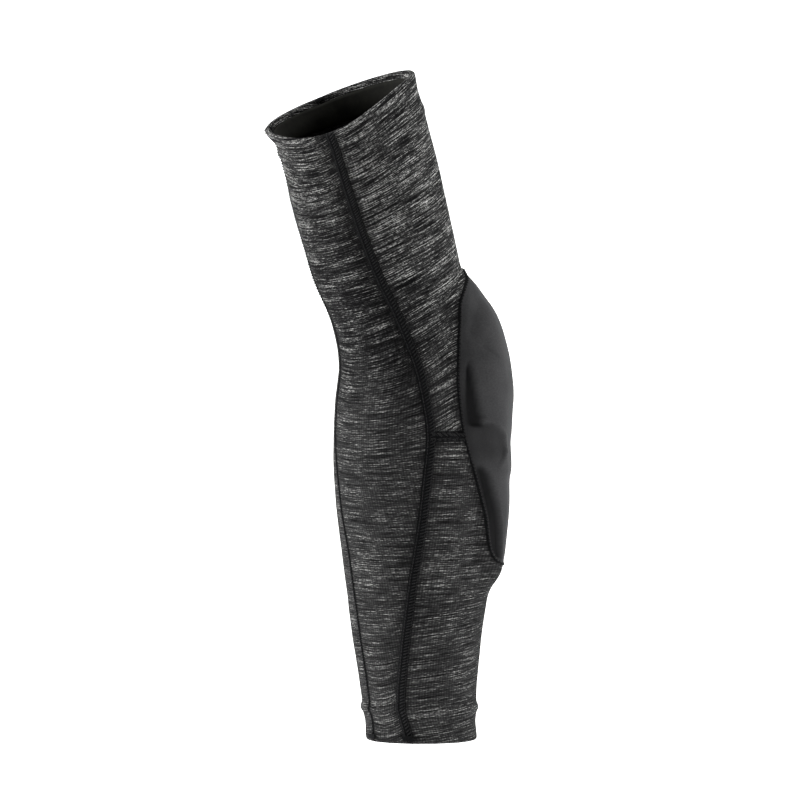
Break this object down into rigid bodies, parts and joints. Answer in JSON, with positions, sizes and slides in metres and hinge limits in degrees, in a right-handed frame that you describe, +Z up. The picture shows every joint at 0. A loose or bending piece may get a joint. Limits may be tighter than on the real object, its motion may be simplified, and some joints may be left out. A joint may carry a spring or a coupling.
{
  "type": "elbow pad",
  "caption": "Long pull-on knitted arm sleeve with a moulded, fabric-covered foam pad over the point of the elbow, flat seams and turned hems with silicone grip.",
  "frame": {"origin": "the middle of the elbow inside the sleeve, on the axis that the arm bends about", "axes": "+Z up the straight-hanging forearm towards the shoulder, +X to the back of the elbow where the pad is, +Y to the sleeve's left side, along the elbow's axis"},
  "size_m": [0.1445, 0.0852, 0.398],
  "materials": {
    "knit": "heather stretch knit, near-black with light grey streaks across the arm",
    "cover": "matte charcoal stretch woven cloth, pressed over foam",
    "foam": "moulded closed-cell foam",
    "lining": "thin black brushed lining",
    "thread": "black polyester flatlock stitching",
    "silicone": "satin printed silicone"
  },
  "bodies": {
    "forearm": {"right_front_panel_forearm": "knit", "left_front_panel_forearm": "knit", "back_panel_forearm": "knit", "right_front_panel_elbow": "knit", "left_front_panel_elbow": "knit", "right_back_panel_elbow": "knit", "left_back_panel_elbow": "knit", "right_side_seam": "thread", "left_side_seam": "thread", "front_seam": "thread", "right_cross_seam": "thread", "left_cross_seam": "thread", "elbow_cover_edge_seam": "thread", "elbow_cover_middle": "cover", "elbow_cover_lower": "cover", "elbow_foam_middle": "foam", "elbow_foam_lower": "foam", "elbow_lining_middle": "lining", "elbow_lining_lower": "lining", "wrist_hem_facing": "knit", "wrist_gripper_band": "silicone", "right_side_wrist_tack": "thread", "left_side_wrist_tack": "thread", "front_wrist_tack": "thread"},
    "upper_arm": {"right_front_panel_upper_arm": "knit", "left_front_panel_upper_arm": "knit", "back_panel_upper_arm": "knit", "elbow_cover_upper": "cover", "elbow_foam_upper": "foam", "elbow_lining_upper": "lining", "biceps_hem_facing": "knit", "biceps_gripper_band": "silicone"}
  },
  "joints": [
    {"name": "elbow_flex", "type": "hinge", "parent": "forearm", "child": "upper_arm", "pos_m": [0, 0, 0], "axis": [0, -1, 0], "range_deg": [-18, 90], "deforming": ["right_front_panel_elbow", "left_front_panel_elbow", "right_back_panel_elbow", "left_back_panel_elbow", "right_side_seam", "left_side_seam", "front_seam", "elbow_cover_edge_seam", "elbow_cover_middle", "elbow_foam_middle", "elbow_lining_middle"]}
  ]
}
